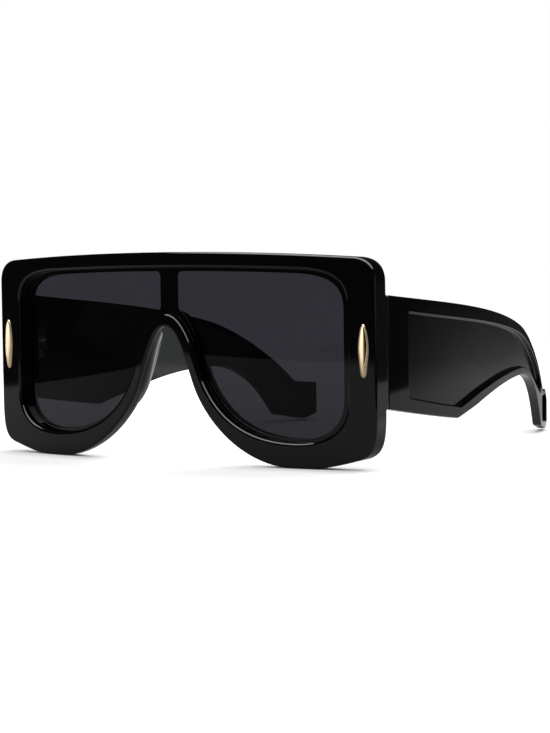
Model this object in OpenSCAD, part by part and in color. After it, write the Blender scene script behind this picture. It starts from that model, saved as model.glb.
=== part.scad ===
/* [Front] */
// Width of the front, side to side
frame_w = 150; // [135:1:165]
// Height of the front, from its resting flats to the middle of its top edge
frame_h = 67; // [60:1:74]
// Thickness of the front, face to back
frame_d = 6.5; // [6:0.1:8]
// Radius that the front is bent to, round the face
wrap_r = 423; // [300:1:800]
// Fall of the top edge from its middle to its corners
top_drop = 2.1; // [0.5:0.1:4]
// Size of the two upper corners
corner_w = 7; // [3:0.1:9]
// Height at which each side starts to round off
low_corner_h = 18; // [12:0.5:24]
// How far in from the side that rounding ends
low_corner_in = 6; // [4:0.5:9]
// Height at which that rounding ends
low_corner_z = 3.2; // [2:0.1:4]
// Distance of each resting flat's middle from the middle of the front
rest_x = 50; // [46:0.5:54]
// Width of each resting flat
rest_w = 8; // [4:0.5:10]

/* [Rims] */
// Width of the rim over the lenses
rim_top_w = 5; // [4:0.1:7]
// Width of the rim at each side
rim_side_w = 9.5; // [8:0.1:12]
// Width of the rim under the lenses
rim_low_w = 7.8; // [6:0.1:10]
// Depth of the step from the face down to the lenses
step_d = 2.9; // [2:0.1:3.2]
// Width of the ledge round each lens
ledge_w = 1.1; // [0.6:0.1:2]
// Width of the ledge at each lens's outer side
ledge_side_w = 2.5; // [1:0.1:3.5]
// Fall of the opening's top edge from its middle to its corners
open_drop = 0.9; // [0.3:0.1:2]
// Width of the opening's upper corners
open_corner_w = 15; // [10:0.5:20]
// Height of the opening's upper corners
open_corner_h = 11; // [8:0.5:16]
// Height of the opening's lower corners
open_low_h = 13; // [9:0.5:18]
// How far inside the resting flats' middles the opening is lowest
open_low_in = 2; // [0:0.5:5]

/* [Nose] */
// Height of the nose notch's top
nose_h = 43.3; // [40:0.1:46]
// Height at which the notch's flanks turn outward
flank_h = 25; // [22:0.5:28]
// Half width of the notch at that height
flank_x = 10.8; // [9:0.1:12.5]
// Height of the bridge over the notch
bridge_t = 4.2; // [3:0.1:6]
// Width of the rim beside the nose
rim_nose_w = 3.4; // [2.8:0.1:5]
// Width of the bar between the lenses
bar_w = 6.8; // [5:0.1:9]
// Size of each lens window's corners at the bar
window_corner = 1.8; // [1.5:0.1:4]

/* [Lenses] */
// Thickness of a lens
lens_t = 2; // [1.6:0.1:2.2]
// Depth of a lens's face under the step
lens_drop = 0.5; // [0.3:0.1:0.8]
// How far a lens's edge lies in its groove
groove_d = 1; // [0.6:0.1:1.3]
// Clearance round a lens in its groove
lens_clear = 0.05; // [0.02:0.01:0.1]

/* [Nose pads] */
// Length of a nose pad
pad_l = 20; // [16:0.5:23]
// How far a nose pad stands out behind the front
pad_out = 4; // [3:0.1:5]
// Thickness of a nose pad
pad_t = 2.6; // [2:0.1:3.2]
// Height of a nose pad's middle
pad_h = 32.5; // [30:0.5:35]
// Lean of a nose pad along the notch, in degrees
pad_lean = 20; // [12:1:26]
// Splay of a nose pad outward at its back, in degrees
pad_splay = 22; // [0:1:30]

/* [Accents] */
// Height of a metal accent
accent_h = 16.4; // [12:0.1:20]
// Width of a metal accent
accent_w = 4.2; // [3:0.1:5]
// How far a metal accent stands out of the face
accent_out = 1.1; // [0.6:0.1:1.5]
// Distance of an accent's middle from the front's side
accent_in = 4.1; // [3.4:0.1:5]
// Height of an accent's middle
accent_z = 36.5; // [30:0.5:42]
// Radius of an accent's two pegs
peg_r = 0.6; // [0.4:0.05:0.8]
// Length of an accent's pegs
peg_l = 3; // [2:0.1:3.5]

/* [Temples] */
// Distance of the temple's front end behind the middle of the face
root_y = 14.6; // [14:0.1:18]
// Length of a temple
temple_l = 147.4; // [135:0.1:160]
// Radius that a temple is bent to
temple_r = 312; // [260:1:400]
// Distance from the front's side line out to the temple's furthest bulge
bulge_out = 0.9; // [0.5:0.1:2]
// Distance from the temple's front end back to that bulge
bulge_l = 27.8; // [20:0.1:36]
// Thickness of a temple at its front end
temple_t = 4.4; // [4:0.1:5.2]
// Thickness of a temple at its tip
tip_t = 3.2; // [2.8:0.1:3.8]
// Height of a temple's upper edge at its front end
root_top_h = 53.2; // [49:0.1:58]
// Height of a temple's lower edge at its front end
root_low_h = 18.4; // [17:0.1:20]
// Height of the tip's upper side at its end
tip_top_h = 14.6; // [13:0.1:16]
// Length of the tip's upper side
tip_l = 9.6; // [8:0.1:14]
// Distance from the temple's front end back to the point on its lower edge
point_l = 41; // [34:0.5:48]
// Height of that point
point_h = 12.6; // [11:0.1:14]
// Distance from the temple's front end back to the top of the arch behind the point
arch_l = 99; // [90:0.5:104]
// Height of the arch
arch_h = 23.1; // [21.5:0.1:24]
// Distance from the temple's front end back to where its upper edge turns down
turn_l = 95.4; // [88:0.1:102]
// Height of the upper edge there
turn_h = 41; // [38:0.1:44]
// Length of the tip's underside
tip_low_l = 17.6; // [14:0.1:20]
// Height of the tip's underside at its front
tip_low_h = 2.8; // [1.5:0.1:4]
// Length of the flat that the tip rests on
tip_rest_l = 4; // [2:0.1:6]
// Fall of the tip's upper side from its front to its end
tip_fall = 0.9; // [0:0.1:2]
// Width of the border round the recess in the tip's outer side
tip_border_w = 1.5; // [1:0.1:2.2]
// Distance from the temple's front end to the start of its panel
panel_y = 11; // [9.5:0.1:14]
// Distance from the temple's front end to the end of its panel
panel_end = 131.4; // [124:0.1:133]
// Height of the panel's end
panel_end_h = 16.2; // [15:0.1:17]
// Depth of the panel in a temple's outer side
panel_d = 1.8; // [1:0.1:2]
// Width of the border over the panel
border_top_w = 4.6; // [3:0.1:6]
// Width of the border under the panel
border_low_w = 3.6; // [3:0.1:5]
// Width of the border over the arch
border_arch_w = 2.7; // [2:0.1:4]
// Gap between the front and a temple
butt_gap = 0.3; // [0.2:0.05:0.5]
// Radius of the wire inside a temple
core_r = 0.6; // [0.4:0.05:0.7]
// Length of the wire inside a temple
core_l = 86; // [60:1:90]
// Height of the wire inside a temple
core_z = 31; // [29:0.5:33]

/* [Hinges] */
// Distance of the hinge pin in from the front's side
pin_in = 6.4; // [6.2:0.1:7]
// Distance of the hinge pin behind the temple's front end
pin_back = 2.4; // [2.1:0.1:3]
// Height of the hinge's middle
hinge_z = 36; // [32:0.5:40]
// Lean of the hinge pins, their tops toward the face, in degrees
pin_lean = 2.5; // [1.5:0.1:3.5]
// Height of one knuckle
knuckle_h = 2; // [1.6:0.1:2.4]
// Outer radius of the knuckles
knuckle_r = 1.7; // [1.5:0.05:1.8]
// Gap between two knuckles
knuckle_gap = 0.1; // [0.06:0.01:0.2]
// Radius of the hinge screw
screw_r = 0.7; // [0.5:0.05:0.8]
// Running clearance of the hinge screw
screw_clear = 0.05; // [0.02:0.01:0.1]
// Radius of the hinge screw's head
head_r = 1.4; // [1.1:0.05:1.6]
// Height of the hinge screw's head
head_h = 0.8; // [0.5:0.05:1]
// Thickness of the hinge leaves
leaf_t = 0.9; // [0.7:0.05:1]
// Width of the front leaf, out from the pin
front_leaf_w = 3.6; // [3.4:0.1:3.8]
// Length of the temple leaf behind the pin
temple_leaf_l = 9.5; // [8:0.1:11]
// Thickness of the webs between the leaves and the knuckles
web_t = 2.2; // [1.6:0.1:2.6]
// Radius of the small leaf screws
small_r = 0.5; // [0.35:0.05:0.6]
// Radius of the small screws' heads
small_head_r = 0.9; // [0.7:0.05:1]
// Height of the small screws' heads
small_head_h = 0.35; // [0.2:0.05:0.5]
// Length of the small screws under their heads
small_l = 1.9; // [1.4:0.1:2.2]
// Distance between the two small screws of a leaf
small_apart = 4.6; // [3.6:0.1:5.6]
// Clearance round the pins, pegs and leaves that sit in a seat
seat_clear = 0.03; // [0.01:0.01:0.06]
// Clearance of the temple round the knuckles
relief = 0.3; // [0.2:0.05:0.5]

/* [Hidden] */

black = [0.05, 0.05, 0.055];
smoke = [0.2, 0.2, 0.23, 0.85];
gold = [0.85, 0.68, 0.42];
steel = [0.62, 0.62, 0.64];

// Facets of the large bends and of the small round parts
bend_fn = 720;
round_fn = 48;
// Points on each curved stretch of an outline
steps = 9;
// Overrun that every cut shares
cut = 1;

half_w = frame_w / 2;
total_y = root_y + temple_l;
block_back_y = root_y - butt_gap;
block_in_x = half_w - rim_side_w - ledge_side_w + groove_d + 2 * lens_clear;
pin_x = half_w - pin_in;
pin_y = root_y + pin_back;
bore_r = screw_r + screw_clear;
leaf_h = 5 * knuckle_h + 4 * knuckle_gap;
hinge_low_z = hinge_z - leaf_h / 2;
pitch = knuckle_h + knuckle_gap;
lens_near = step_d + lens_drop;
accent_x = half_w - accent_in;

// A temple's bend: the axis of its outer side, and the shift of the inner side's axis that thins it
bend_x = half_w + bulge_out - temple_r;
bend_y = root_y + bulge_l;
root_sin = bulge_l / temple_r;
tip_sin = (temple_l - bulge_l) / temple_r;
inner_shift = (temple_t - tip_t) / (root_sin + tip_sin);
inner_r = temple_r - temple_t + inner_shift * root_sin;
root_out_x = bend_x + sqrt(pow(temple_r, 2) - pow(bulge_l, 2));
leaf_turn = asin((bulge_l - pin_back) / temple_r);
// Distance from the pin out to the temple's inner side, square to that side
leaf_x = (bend_x + sqrt(pow(inner_r, 2) - pow(bulge_l - pin_back + inner_shift, 2)) - pin_x) * cos(leaf_turn);
core_mid_r = (temple_r - panel_d + inner_r) / 2;
core_start = asin((pin_back + temple_leaf_l + leaf_t - bulge_l) / temple_r);
core_angle = core_l / core_mid_r * 180 / PI;

// Points on the curve that a list of control points pulls, without its first point
function mix(list, t) = [for (i = [0:len(list) - 2]) list[i] * (1 - t) + list[i + 1] * t];
function at(list, t) = len(list) == 1 ? list[0] : at(mix(list, t), t);
function curve(list) = [for (i = [1:steps]) at(list, i / steps)];
// A curve from a to b, whose control points are shares of the box between the two
function inside(a, b, share) = [a.x + (b.x - a.x) * share.x, a.y + (b.y - a.y) * share.y];
function stretch(a, b, shares) = curve(concat([a], [for (share = shares) inside(a, b, share)], [b]));
function mirrored(list) = [for (i = [len(list) - 1:-1:0]) [-list[i].x, list[i].y]];

// Where the control points of each stretch lie
arch_top_shares = [[0.5, 0]];
round_shares = [[0.95, 0.1]];
low_corner_shares = [[0, 0.68], [0.17, 0.91]];
rest_out_shares = [[0.33, 0.44], [0.67, 1]];
flank_shares = [[0.49, 0], [0.87, 0.53]];
notch_shares = [[0.39, 0.6], [0.57, 1]];
open_corner_shares = [[0.57, 0.06], [1, 0.21]];
open_low_shares = [[0, 0.72], [0.43, 1]];
open_flank_shares = [[0.47, 0], [0.82, 0.32]];
open_arch_shares = [[0.25, 0.41], [0.46, 1]];
window_arch_shares = [[0.32, 0.38], [0.6, 0.86]];
window_turn_shares = [[1, 0.25]];
window_top_shares = [[0, 1]];
flank_out_share = [0.94, 0.59];
top_edge_shares = [[0.335, 0.27], [0.7, 0.41]];
top_fall_shares = [[0.3, 0.11], [0.72, 0.5]];
tip_rise_shares = [[0.17, 0.4], [0.42, 1]];
arch_fall_shares = [[0.44, 0]];
point_shares = [[0.51, 0.43]];
panel_top_shares = [[0.335, 0.33], [0.7, 0.45]];
panel_fall_shares = [[0.286, 0.12], [0.66, 0.45]];
panel_rise_shares = [[0.32, 0.04], [0.57, 1]];
arch_low_share = [0.25, 0.33];
panel_point_share = 0.05;
pad_side_share = 0.62;
turn_border_share = 0.91;

// Half of the front's outline, from the middle of the top round to the top of the notch
top_a = [half_w - corner_w, frame_h - top_drop];
top_b = [half_w, top_a.y - corner_w];
low_a = [half_w, low_corner_h];
low_b = [half_w - low_corner_in, low_corner_z];
rest_a = [rest_x + rest_w / 2, 0];
rest_b = [rest_x - rest_w / 2, 0];
flank = [flank_x, flank_h];
function front_half() = concat([[0, frame_h]],
    stretch([0, frame_h], top_a, arch_top_shares),
    stretch(top_a, top_b, round_shares),
    [low_a], stretch(low_a, low_b, low_corner_shares),
    stretch(low_b, rest_a, rest_out_shares),
    [rest_b], stretch(rest_b, flank, flank_shares),
    stretch(flank, [0, nose_h], notch_shares));

// The opening in the face and the lens windows, moved in from the rims by a ledge
function open_top(ledge) = frame_h - rim_top_w - ledge;
function open_a(ledge, side) = [half_w - rim_side_w - side - open_corner_w, open_top(ledge) - open_drop];
function open_b(ledge, side) = [half_w - rim_side_w - side, open_top(ledge) - open_drop - open_corner_h];
function open_c(ledge, side) = [half_w - rim_side_w - side, rim_low_w + ledge + open_low_h];
function open_d(ledge) = [rest_x - open_low_in, rim_low_w + ledge];
function open_e(ledge) = flank + flank_out_share * (rim_nose_w + ledge);
function open_sides(ledge, side) = concat(
    stretch(open_a(ledge, side), open_b(ledge, side), open_corner_shares),
    [open_c(ledge, side)], stretch(open_c(ledge, side), open_d(ledge), open_low_shares),
    stretch(open_d(ledge), open_e(ledge), open_flank_shares));
function opening_half() = concat([[0, open_top(0)]],
    stretch([0, open_top(0)], open_a(0, 0), arch_top_shares),
    open_sides(0, 0),
    stretch(open_e(0), [0, nose_h + bridge_t], open_arch_shares));
function window(grow) = let(
        ledge = ledge_w - grow,
        side = ledge_side_w - grow,
        bar_x = bar_w / 2 - grow,
        foot = [bar_x + window_corner, nose_h + bridge_t + ledge - window_corner / 3],
        top_in = [bar_x, open_top(ledge) - window_corner],
        rise = [bar_x, foot.y + min(window_corner * 2, (top_in.y - foot.y) * 2 / 3)],
        top_out = [bar_x + window_corner, open_top(ledge)])
    concat([top_in], stretch(top_in, top_out, window_top_shares),
        stretch(top_out, open_a(ledge, side), arch_top_shares),
        open_sides(ledge, side),
        stretch(open_e(ledge), foot, window_arch_shares),
        stretch(foot, rise, window_turn_shares));

// A temple's outline and its panel's, seen from the side
function along(l, h) = [root_y + l, h];
turn = along(turn_l, turn_h);
tip_front = along(temple_l - tip_l, tip_top_h + tip_fall);
tip_low = along(temple_l - tip_low_l, tip_low_h);
arch = along(arch_l, arch_h);
arch_low = inside(along(point_l, point_h), arch, arch_low_share);
function temple_outline() = concat([along(0, root_top_h)],
    stretch(along(0, root_top_h), turn, top_edge_shares),
    stretch(turn, tip_front, top_fall_shares),
    [along(temple_l, tip_top_h), along(temple_l, 0), along(temple_l - tip_rest_l, 0), tip_low],
    stretch(tip_low, arch, tip_rise_shares),
    stretch(arch, arch_low, arch_fall_shares),
    [along(point_l, point_h)],
    stretch(along(point_l, point_h), along(0, root_low_h), point_shares));
panel_a = along(panel_y, root_top_h - (root_top_h - turn_h) * panel_y / turn_l - border_top_w * turn_border_share);
panel_b = turn - [0, border_top_w * turn_border_share];
panel_c = along(panel_end, panel_end_h);
panel_d_point = arch + [0, border_arch_w];
panel_e = arch_low + [0, border_low_w];
panel_f = along(point_l * (1 + panel_point_share), point_h + border_low_w);
panel_g = along(panel_y, root_low_h - (root_low_h - point_h) * panel_y / point_l / 2 + border_low_w);
function panel_outline() = concat([panel_a],
    stretch(panel_a, panel_b, panel_top_shares),
    stretch(panel_b, panel_c, panel_fall_shares),
    stretch(panel_c, panel_d_point, panel_rise_shares),
    stretch(panel_d_point, panel_e, arch_fall_shares),
    [panel_f], stretch(panel_f, panel_g, point_shares));
tip_recess_l = temple_l - tip_low_l + 2 * tip_border_w;
function tip_recess() = [along(tip_recess_l, tip_top_h - tip_border_w),
    along(temple_l - tip_border_w, tip_top_h - tip_border_w),
    along(temple_l - tip_border_w, 2 * tip_border_w), along(tip_recess_l, tip_low_h + tip_border_w)];

// The whole stands with the middle of its box's underside at the origin
module standing() translate([0, -total_y / 2, 0]) children();
module on_side(side) mirror([side < 0 ? 1 : 0, 0, 0]) children();

// A plate of an outline in the X-Z plane, or in the Y-Z plane
module face_plate(points, near, far) translate([0, far, 0]) rotate([90, 0, 0]) linear_extrude(far - near)
    polygon(points);
module side_plate(points, near, far) translate([near, 0, 0]) rotate([90, 0, 90]) linear_extrude(far - near)
    polygon(points);

// The bent layer of the front between two depths behind its face
module layer(near, far) difference() {
    translate([0, wrap_r, -cut]) cylinder(r = wrap_r - near, h = frame_h + 2 * cut, $fn = bend_fn);
    translate([0, wrap_r, -2 * cut]) cylinder(r = wrap_r - far, h = frame_h + 4 * cut, $fn = bend_fn);
}
// Places what is drawn at the middle of the face at a distance x along it
module on_face(x) translate([0, wrap_r, 0]) rotate([0, 0, asin(x / wrap_r)]) translate([0, -wrap_r, 0]) children();

module almond(w, h) {
    r = (w * w + h * h) / w / 4;
    intersection() {
        translate([r - w / 2, 0]) circle(r = r, $fn = bend_fn);
        translate([w / 2 - r, 0]) circle(r = r, $fn = bend_fn);
    }
}
peg_z = accent_h / 4;
accent_seat = accent_out / 2;
module accent_place() on_face(accent_x) translate([0, 0, accent_z]) children();
module pegs(extra) for (z = [-peg_z, peg_z]) translate([0, 0, z]) rotate([-90, 0, 0])
    cylinder(r = peg_r + extra, h = accent_seat + peg_l, $fn = round_fn);
module accent_plate(extra) translate([0, accent_seat, 0]) rotate([90, 0, 0])
    linear_extrude(accent_seat + accent_out) almond(accent_w + 2 * extra, accent_h + 2 * extra);
module accent() accent_place() {
    dome_z = (accent_h * accent_h / 4 + accent_out * accent_out) / accent_out / 2;
    dome_x = (accent_w * accent_w / 4 + accent_out * accent_out) / accent_out / 2;
    intersection() {
        accent_plate(0);
        union() {
            intersection() {
                translate([-accent_w, dome_z - accent_out, 0]) rotate([0, 90, 0])
                    cylinder(r = dome_z, h = 2 * accent_w, $fn = bend_fn);
                translate([0, dome_x - accent_out, -accent_h]) cylinder(r = dome_x, h = 2 * accent_h, $fn = bend_fn);
            }
            translate([-accent_w, 0, -accent_h]) cube([2 * accent_w, accent_seat, 2 * accent_h]);
        }
    }
    pegs(0);
}

module screw_hole(l) translate([0, 0, -l]) cylinder(r = small_r + seat_clear, h = l + cut, $fn = round_fn);
module small_screw() {
    translate([0, 0, -small_l]) cylinder(r = small_r, h = small_l, $fn = round_fn);
    difference() {
        cylinder(r = small_head_r, h = small_head_h, $fn = round_fn);
        translate([-small_head_r - cut, -small_r / 3, small_head_h / 2])
            cube([2 * (small_head_r + cut), small_r * 2 / 3, small_head_h]);
    }
}

// Knuckles of one leaf, from the one numbered first, every second one
module knuckles(first, web_l) for (i = [first:2:4]) translate([0, 0, hinge_low_z + i * pitch]) {
    cylinder(r = knuckle_r, h = knuckle_h, $fn = round_fn);
    translate([0, -web_t / 2, 0]) cube([web_l, web_t, knuckle_h]);
}
module pin_bore() translate([0, 0, hinge_low_z - cut]) cylinder(r = bore_r, h = leaf_h + 2 * cut, $fn = round_fn);
module at_pin() translate([pin_x, pin_y, hinge_z]) rotate([pin_lean, 0, 0]) translate([0, 0, -hinge_z])
    children();

front_leaf_back = pin_y - block_back_y;
front_screw_x = pin_x - front_leaf_w + small_head_r + 2 * seat_clear;
module front_screws_place() for (z = [-small_apart / 2, small_apart / 2])
    translate([front_screw_x, block_back_y, hinge_z + z]) rotate([-90, 0, 0]) children();
module front_hinge() difference() {
    union() {
        translate([pin_x - front_leaf_w, block_back_y - leaf_t, hinge_low_z])
            cube([front_leaf_w + web_t / 2, leaf_t, leaf_h]);
        at_pin() rotate([0, 0, -90]) knuckles(0, front_leaf_back + leaf_t / 2);
    }
    at_pin() pin_bore();
    front_screws_place() screw_hole(2 * leaf_t);
}

// The temple leaf lies along the temple's inner side, a little turned
module at_leaf() at_pin() rotate([0, 0, -leaf_turn]) children();
module temple_screws_place() at_leaf() for (y = [0, small_apart])
    translate([leaf_x, temple_leaf_l - small_head_r * 3 / 2 - y, hinge_z]) rotate([0, -90, 0]) children();
module temple_hinge() difference() {
    union() {
        at_leaf() translate([leaf_x, -web_t / 2, hinge_low_z]) cube([leaf_t, temple_leaf_l + web_t / 2, leaf_h]);
        at_leaf() knuckles(1, leaf_x + leaf_t / 2);
    }
    at_pin() pin_bore();
    temple_screws_place() screw_hole(2 * leaf_t);
}

module hinge_screw() at_pin() difference() {
    union() {
        translate([0, 0, hinge_low_z]) cylinder(r = screw_r, h = leaf_h, $fn = round_fn);
        translate([0, 0, hinge_low_z + leaf_h]) cylinder(r = head_r, h = head_h, $fn = round_fn);
    }
    translate([-head_r - cut, -screw_r / 4, hinge_low_z + leaf_h + head_h / 2])
        cube([2 * (head_r + cut), screw_r / 2, head_h]);
}

module front_shape() difference() {
    union() {
        intersection() {
            layer(0, frame_d);
            face_plate(concat(front_half(), mirrored(front_half())), -cut, block_back_y + frame_d);
        }
        for (side = [-1, 1]) on_side(side) difference() {
            translate([block_in_x, 0, root_low_h])
                cube([root_out_x - block_in_x, block_back_y, root_top_h - root_low_h]);
            translate([0, wrap_r, root_low_h - cut])
                difference() {
                    cylinder(r = wrap_r + frame_w, h = root_top_h - root_low_h + 2 * cut, $fn = bend_fn);
                    cylinder(r = wrap_r - frame_d / 2, h = root_top_h - root_low_h + 2 * cut, $fn = bend_fn);
                }
        }
    }
    intersection() {
        layer(-cut, step_d);
        face_plate(concat(opening_half(), mirrored(opening_half())), -2 * cut, block_back_y + frame_d);
    }
    for (side = [-1, 1]) on_side(side) {
        face_plate(window(0), -cut, block_back_y + frame_d);
        intersection() {
            layer(lens_near - lens_clear, lens_near + lens_t + lens_clear);
            face_plate(window(groove_d), -cut, block_back_y + frame_d);
        }
        accent_place() {
            accent_plate(seat_clear);
            pegs(seat_clear);
        }
        translate([pin_x - front_leaf_w - seat_clear, block_back_y - leaf_t, hinge_low_z - seat_clear])
            cube([front_leaf_w + web_t / 2 + 2 * seat_clear, leaf_t + cut, leaf_h + 2 * seat_clear]);
        front_screws_place() screw_hole(small_l + small_r);
    }
}

module lens() intersection() {
    layer(lens_near, lens_near + lens_t);
    face_plate(window(groove_d - lens_clear), -cut, block_back_y + frame_d);
}

// Half width of the notch beside the middle of a nose pad
pad_share = (pad_h - flank_h) / (nose_h - flank_h);
pad_x = flank_x * (1 - pad_share * pad_side_share);
module nose_pad() intersection() {
    translate([pad_x, frame_d, pad_h]) rotate([0, -pad_lean, -pad_splay]) rotate([90, 0, 90])
        linear_extrude(pad_t) almond(2 * pad_out, pad_l);
    translate([0, wrap_r, 0]) cylinder(r = wrap_r - frame_d, h = frame_h, $fn = bend_fn);
}

module bend_layer(near, far) difference() {
    translate([bend_x, bend_y, -cut]) cylinder(r = near, h = frame_h + 2 * cut, $fn = bend_fn);
    translate([bend_x, bend_y, -2 * cut]) cylinder(r = far, h = frame_h + 4 * cut, $fn = bend_fn);
}
module core() translate([bend_x, bend_y + inner_shift / 2, core_z]) rotate([0, 0, core_start])
    rotate_extrude(angle = core_angle, $fn = bend_fn) translate([core_mid_r, 0]) circle(r = core_r, $fn = round_fn);
module temple() difference() {
    side_plate(temple_outline(), half_w / 2, half_w + bulge_out + cut);
    translate([bend_x, bend_y, -cut]) difference() {
        cylinder(r = temple_r + frame_w, h = frame_h + 2 * cut, $fn = bend_fn);
        cylinder(r = temple_r, h = frame_h + 2 * cut, $fn = bend_fn);
    }
    translate([bend_x, bend_y + inner_shift, -cut]) cylinder(r = inner_r, h = frame_h + 2 * cut, $fn = bend_fn);
    intersection() {
        bend_layer(temple_r + cut, temple_r - panel_d);
        union() {
            side_plate(panel_outline(), half_w / 2, half_w + bulge_out + 2 * cut);
            side_plate(tip_recess(), half_w / 2, half_w + bulge_out + 2 * cut);
        }
    }
    at_leaf() translate([-leaf_x, -web_t / 2 - seat_clear, hinge_low_z - seat_clear])
        cube([2 * leaf_x + leaf_t, temple_leaf_l + web_t / 2 + 2 * seat_clear, leaf_h + 2 * seat_clear]);
    at_pin() translate([0, 0, hinge_low_z - relief])
        cylinder(r = knuckle_r + relief, h = leaf_h + head_h + 2 * relief, $fn = round_fn);
    temple_screws_place() screw_hole(small_l + seat_clear);
    core();
}

module front_frame() color(black) standing() front_shape();
module left_lens() color(smoke) standing() lens();
module right_lens() color(smoke) standing() on_side(-1) lens();
module left_nose_pad() color(black) standing() nose_pad();
module right_nose_pad() color(black) standing() on_side(-1) nose_pad();
module left_accent() color(gold) standing() accent();
module right_accent() color(gold) standing() on_side(-1) accent();
module left_front_hinge() color(steel) standing() front_hinge();
module right_front_hinge() color(steel) standing() on_side(-1) front_hinge();
module left_front_hinge_screws() color(steel) standing() front_screws_place() small_screw();
module right_front_hinge_screws() color(steel) standing() on_side(-1) front_screws_place() small_screw();
module left_hinge_screw() color(steel) standing() hinge_screw();
module right_hinge_screw() color(steel) standing() on_side(-1) hinge_screw();
module left_temple() color(black) standing() temple();
module right_temple() color(black) standing() on_side(-1) temple();
module left_temple_hinge() color(steel) standing() temple_hinge();
module right_temple_hinge() color(steel) standing() on_side(-1) temple_hinge();
module left_temple_hinge_screws() color(steel) standing() temple_screws_place() small_screw();
module right_temple_hinge_screws() color(steel) standing() on_side(-1) temple_screws_place() small_screw();
module left_temple_core() color(steel) standing() core();
module right_temple_core() color(steel) standing() on_side(-1) core();

front_frame();
left_lens();
right_lens();
left_nose_pad();
right_nose_pad();
left_accent();
right_accent();
left_front_hinge();
right_front_hinge();
left_front_hinge_screws();
right_front_hinge_screws();
left_hinge_screw();
right_hinge_screw();
left_temple();
right_temple();
left_temple_hinge();
right_temple_hinge();
left_temple_hinge_screws();
right_temple_hinge_screws();
left_temple_core();
right_temple_core();
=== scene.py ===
import math
import bpy
import bmesh
import numpy as np
from mathutils import Matrix, Quaternion, Vector
from mathutils.geometry import delaunay_2d_cdt


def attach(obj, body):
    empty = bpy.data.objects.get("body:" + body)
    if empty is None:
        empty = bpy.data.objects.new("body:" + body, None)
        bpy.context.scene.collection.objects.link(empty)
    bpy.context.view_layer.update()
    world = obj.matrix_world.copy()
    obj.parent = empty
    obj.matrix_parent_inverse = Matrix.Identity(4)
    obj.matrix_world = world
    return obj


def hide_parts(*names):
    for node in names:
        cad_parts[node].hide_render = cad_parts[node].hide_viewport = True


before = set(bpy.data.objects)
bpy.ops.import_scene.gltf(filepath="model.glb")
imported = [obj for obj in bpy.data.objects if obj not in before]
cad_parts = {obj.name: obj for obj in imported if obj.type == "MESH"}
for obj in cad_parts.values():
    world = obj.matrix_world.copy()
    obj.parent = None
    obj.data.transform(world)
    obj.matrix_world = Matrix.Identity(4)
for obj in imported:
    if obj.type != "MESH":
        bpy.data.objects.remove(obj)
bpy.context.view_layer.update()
mm = 0.001

# Drawn in millimetres with the face at y = 0
overall = {
    "shiftY": -81.0,       # brings the drawing to the middle of the CAD box
    "wrapRadius": 423.0,   # bend of the front round the face
    "curveSteps": 22,      # points on each curved stretch of an outline
    "spacing": 2.4,        # size of the triangles on flats
    "rounds": 6,           # facets of a rounded edge
    "rowShare": 0.87,      # height of a row of even triangles
    "border": 0.55,        # a flat's own points keep this share of the spacing from its outline
    "weld": 1e-6, "flatWithin": 2, "bevelFrom": 40, "sharpFrom": 35,   # metres, degrees
}


def curveAt(points, t):
    points = [np.array(p, float) for p in points]
    while len(points) > 1:
        points = [a * (1 - t) + b * t for a, b in zip(points, points[1:])]
    return points[0]


def stretch(a, b, shares):
    a, b = np.array(a, float), np.array(b, float)
    pulls = [a] + [a + (b - a) * np.array(s) for s in shares] + [b]
    n = overall["curveSteps"]
    return [curveAt(pulls, i / n) for i in range(1, n + 1)]


def chain(*parts):
    points = []
    for part in parts:
        points += [np.array(p, float) for p in (part if isinstance(part, list) else [part])]
    return points


def withMirror(half):
    other = [np.array((-p[0], p[1])) for p in reversed(half)]
    return half + other


def cleaned(points, least=0.02):
    kept = []
    for p in points:
        if not kept or np.linalg.norm(p - kept[-1]) > least:
            kept.append(p)
    if np.linalg.norm(kept[0] - kept[-1]) < least:
        kept.pop()
    return kept


def softened(points, radius, facets=6):  # for square corners
    out = []
    for i, p in enumerate(points):
        before, after = points[i - 1] - p, points[(i + 1) % len(points)] - p
        a, b = (p + way / np.linalg.norm(way) * radius for way in (before, after))
        out += [curveAt([a, p, b], k / facets) for k in range(facets + 1)]
    return out


def loopOf(points, longest=2.0):
    points = cleaned(points)
    out = []
    for p, q in zip(points, points[1:] + points[:1]):
        n = max(1, math.ceil(np.linalg.norm(q - p) / longest))
        out += [p + (q - p) * k / n for k in range(n)]
    loop = np.array(out)
    area = np.sum(loop[:, 0] * np.roll(loop[:, 1], -1) - np.roll(loop[:, 0], -1) * loop[:, 1])
    return loop if area > 0 else loop[::-1].copy()


def resampled(loop, count):
    closed = np.vstack([loop, loop[:1]])
    run = np.concatenate([[0], np.cumsum(np.linalg.norm(np.diff(closed, axis=0), axis=1))])
    at = np.linspace(0, run[-1], count, endpoint=False)
    return np.column_stack([np.interp(at, run, closed[:, k]) for k in (0, 1)])


def easedLoop(points, ease, gap=0.5, fine=0.1):  # a loop with its corners blurred a little
    loop = loopOf(points)
    around = np.sum(np.linalg.norm(np.roll(loop, -1, 0) - loop, axis=1))
    dense = resampled(loop, int(around / fine))
    reach = int(ease * 4 / fine)
    weights = np.exp(-0.5 * (np.arange(-reach, reach + 1) * fine / ease) ** 2)
    weights /= weights.sum()
    wrapped = np.vstack([dense[-reach:], dense, dense[:reach]])
    smooth = np.column_stack([np.convolve(wrapped[:, k], weights, "valid") for k in (0, 1)])
    return resampled(smooth, int(around / gap))


def outwardOf(loop):
    before, after = loop - np.roll(loop, 1, 0), np.roll(loop, -1, 0) - loop
    before /= np.linalg.norm(before, axis=1)[:, None]
    after /= np.linalg.norm(after, axis=1)[:, None]
    along = before + after
    along /= np.linalg.norm(along, axis=1)[:, None]
    return np.stack([along[:, 1], -along[:, 0]], 1)


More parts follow.
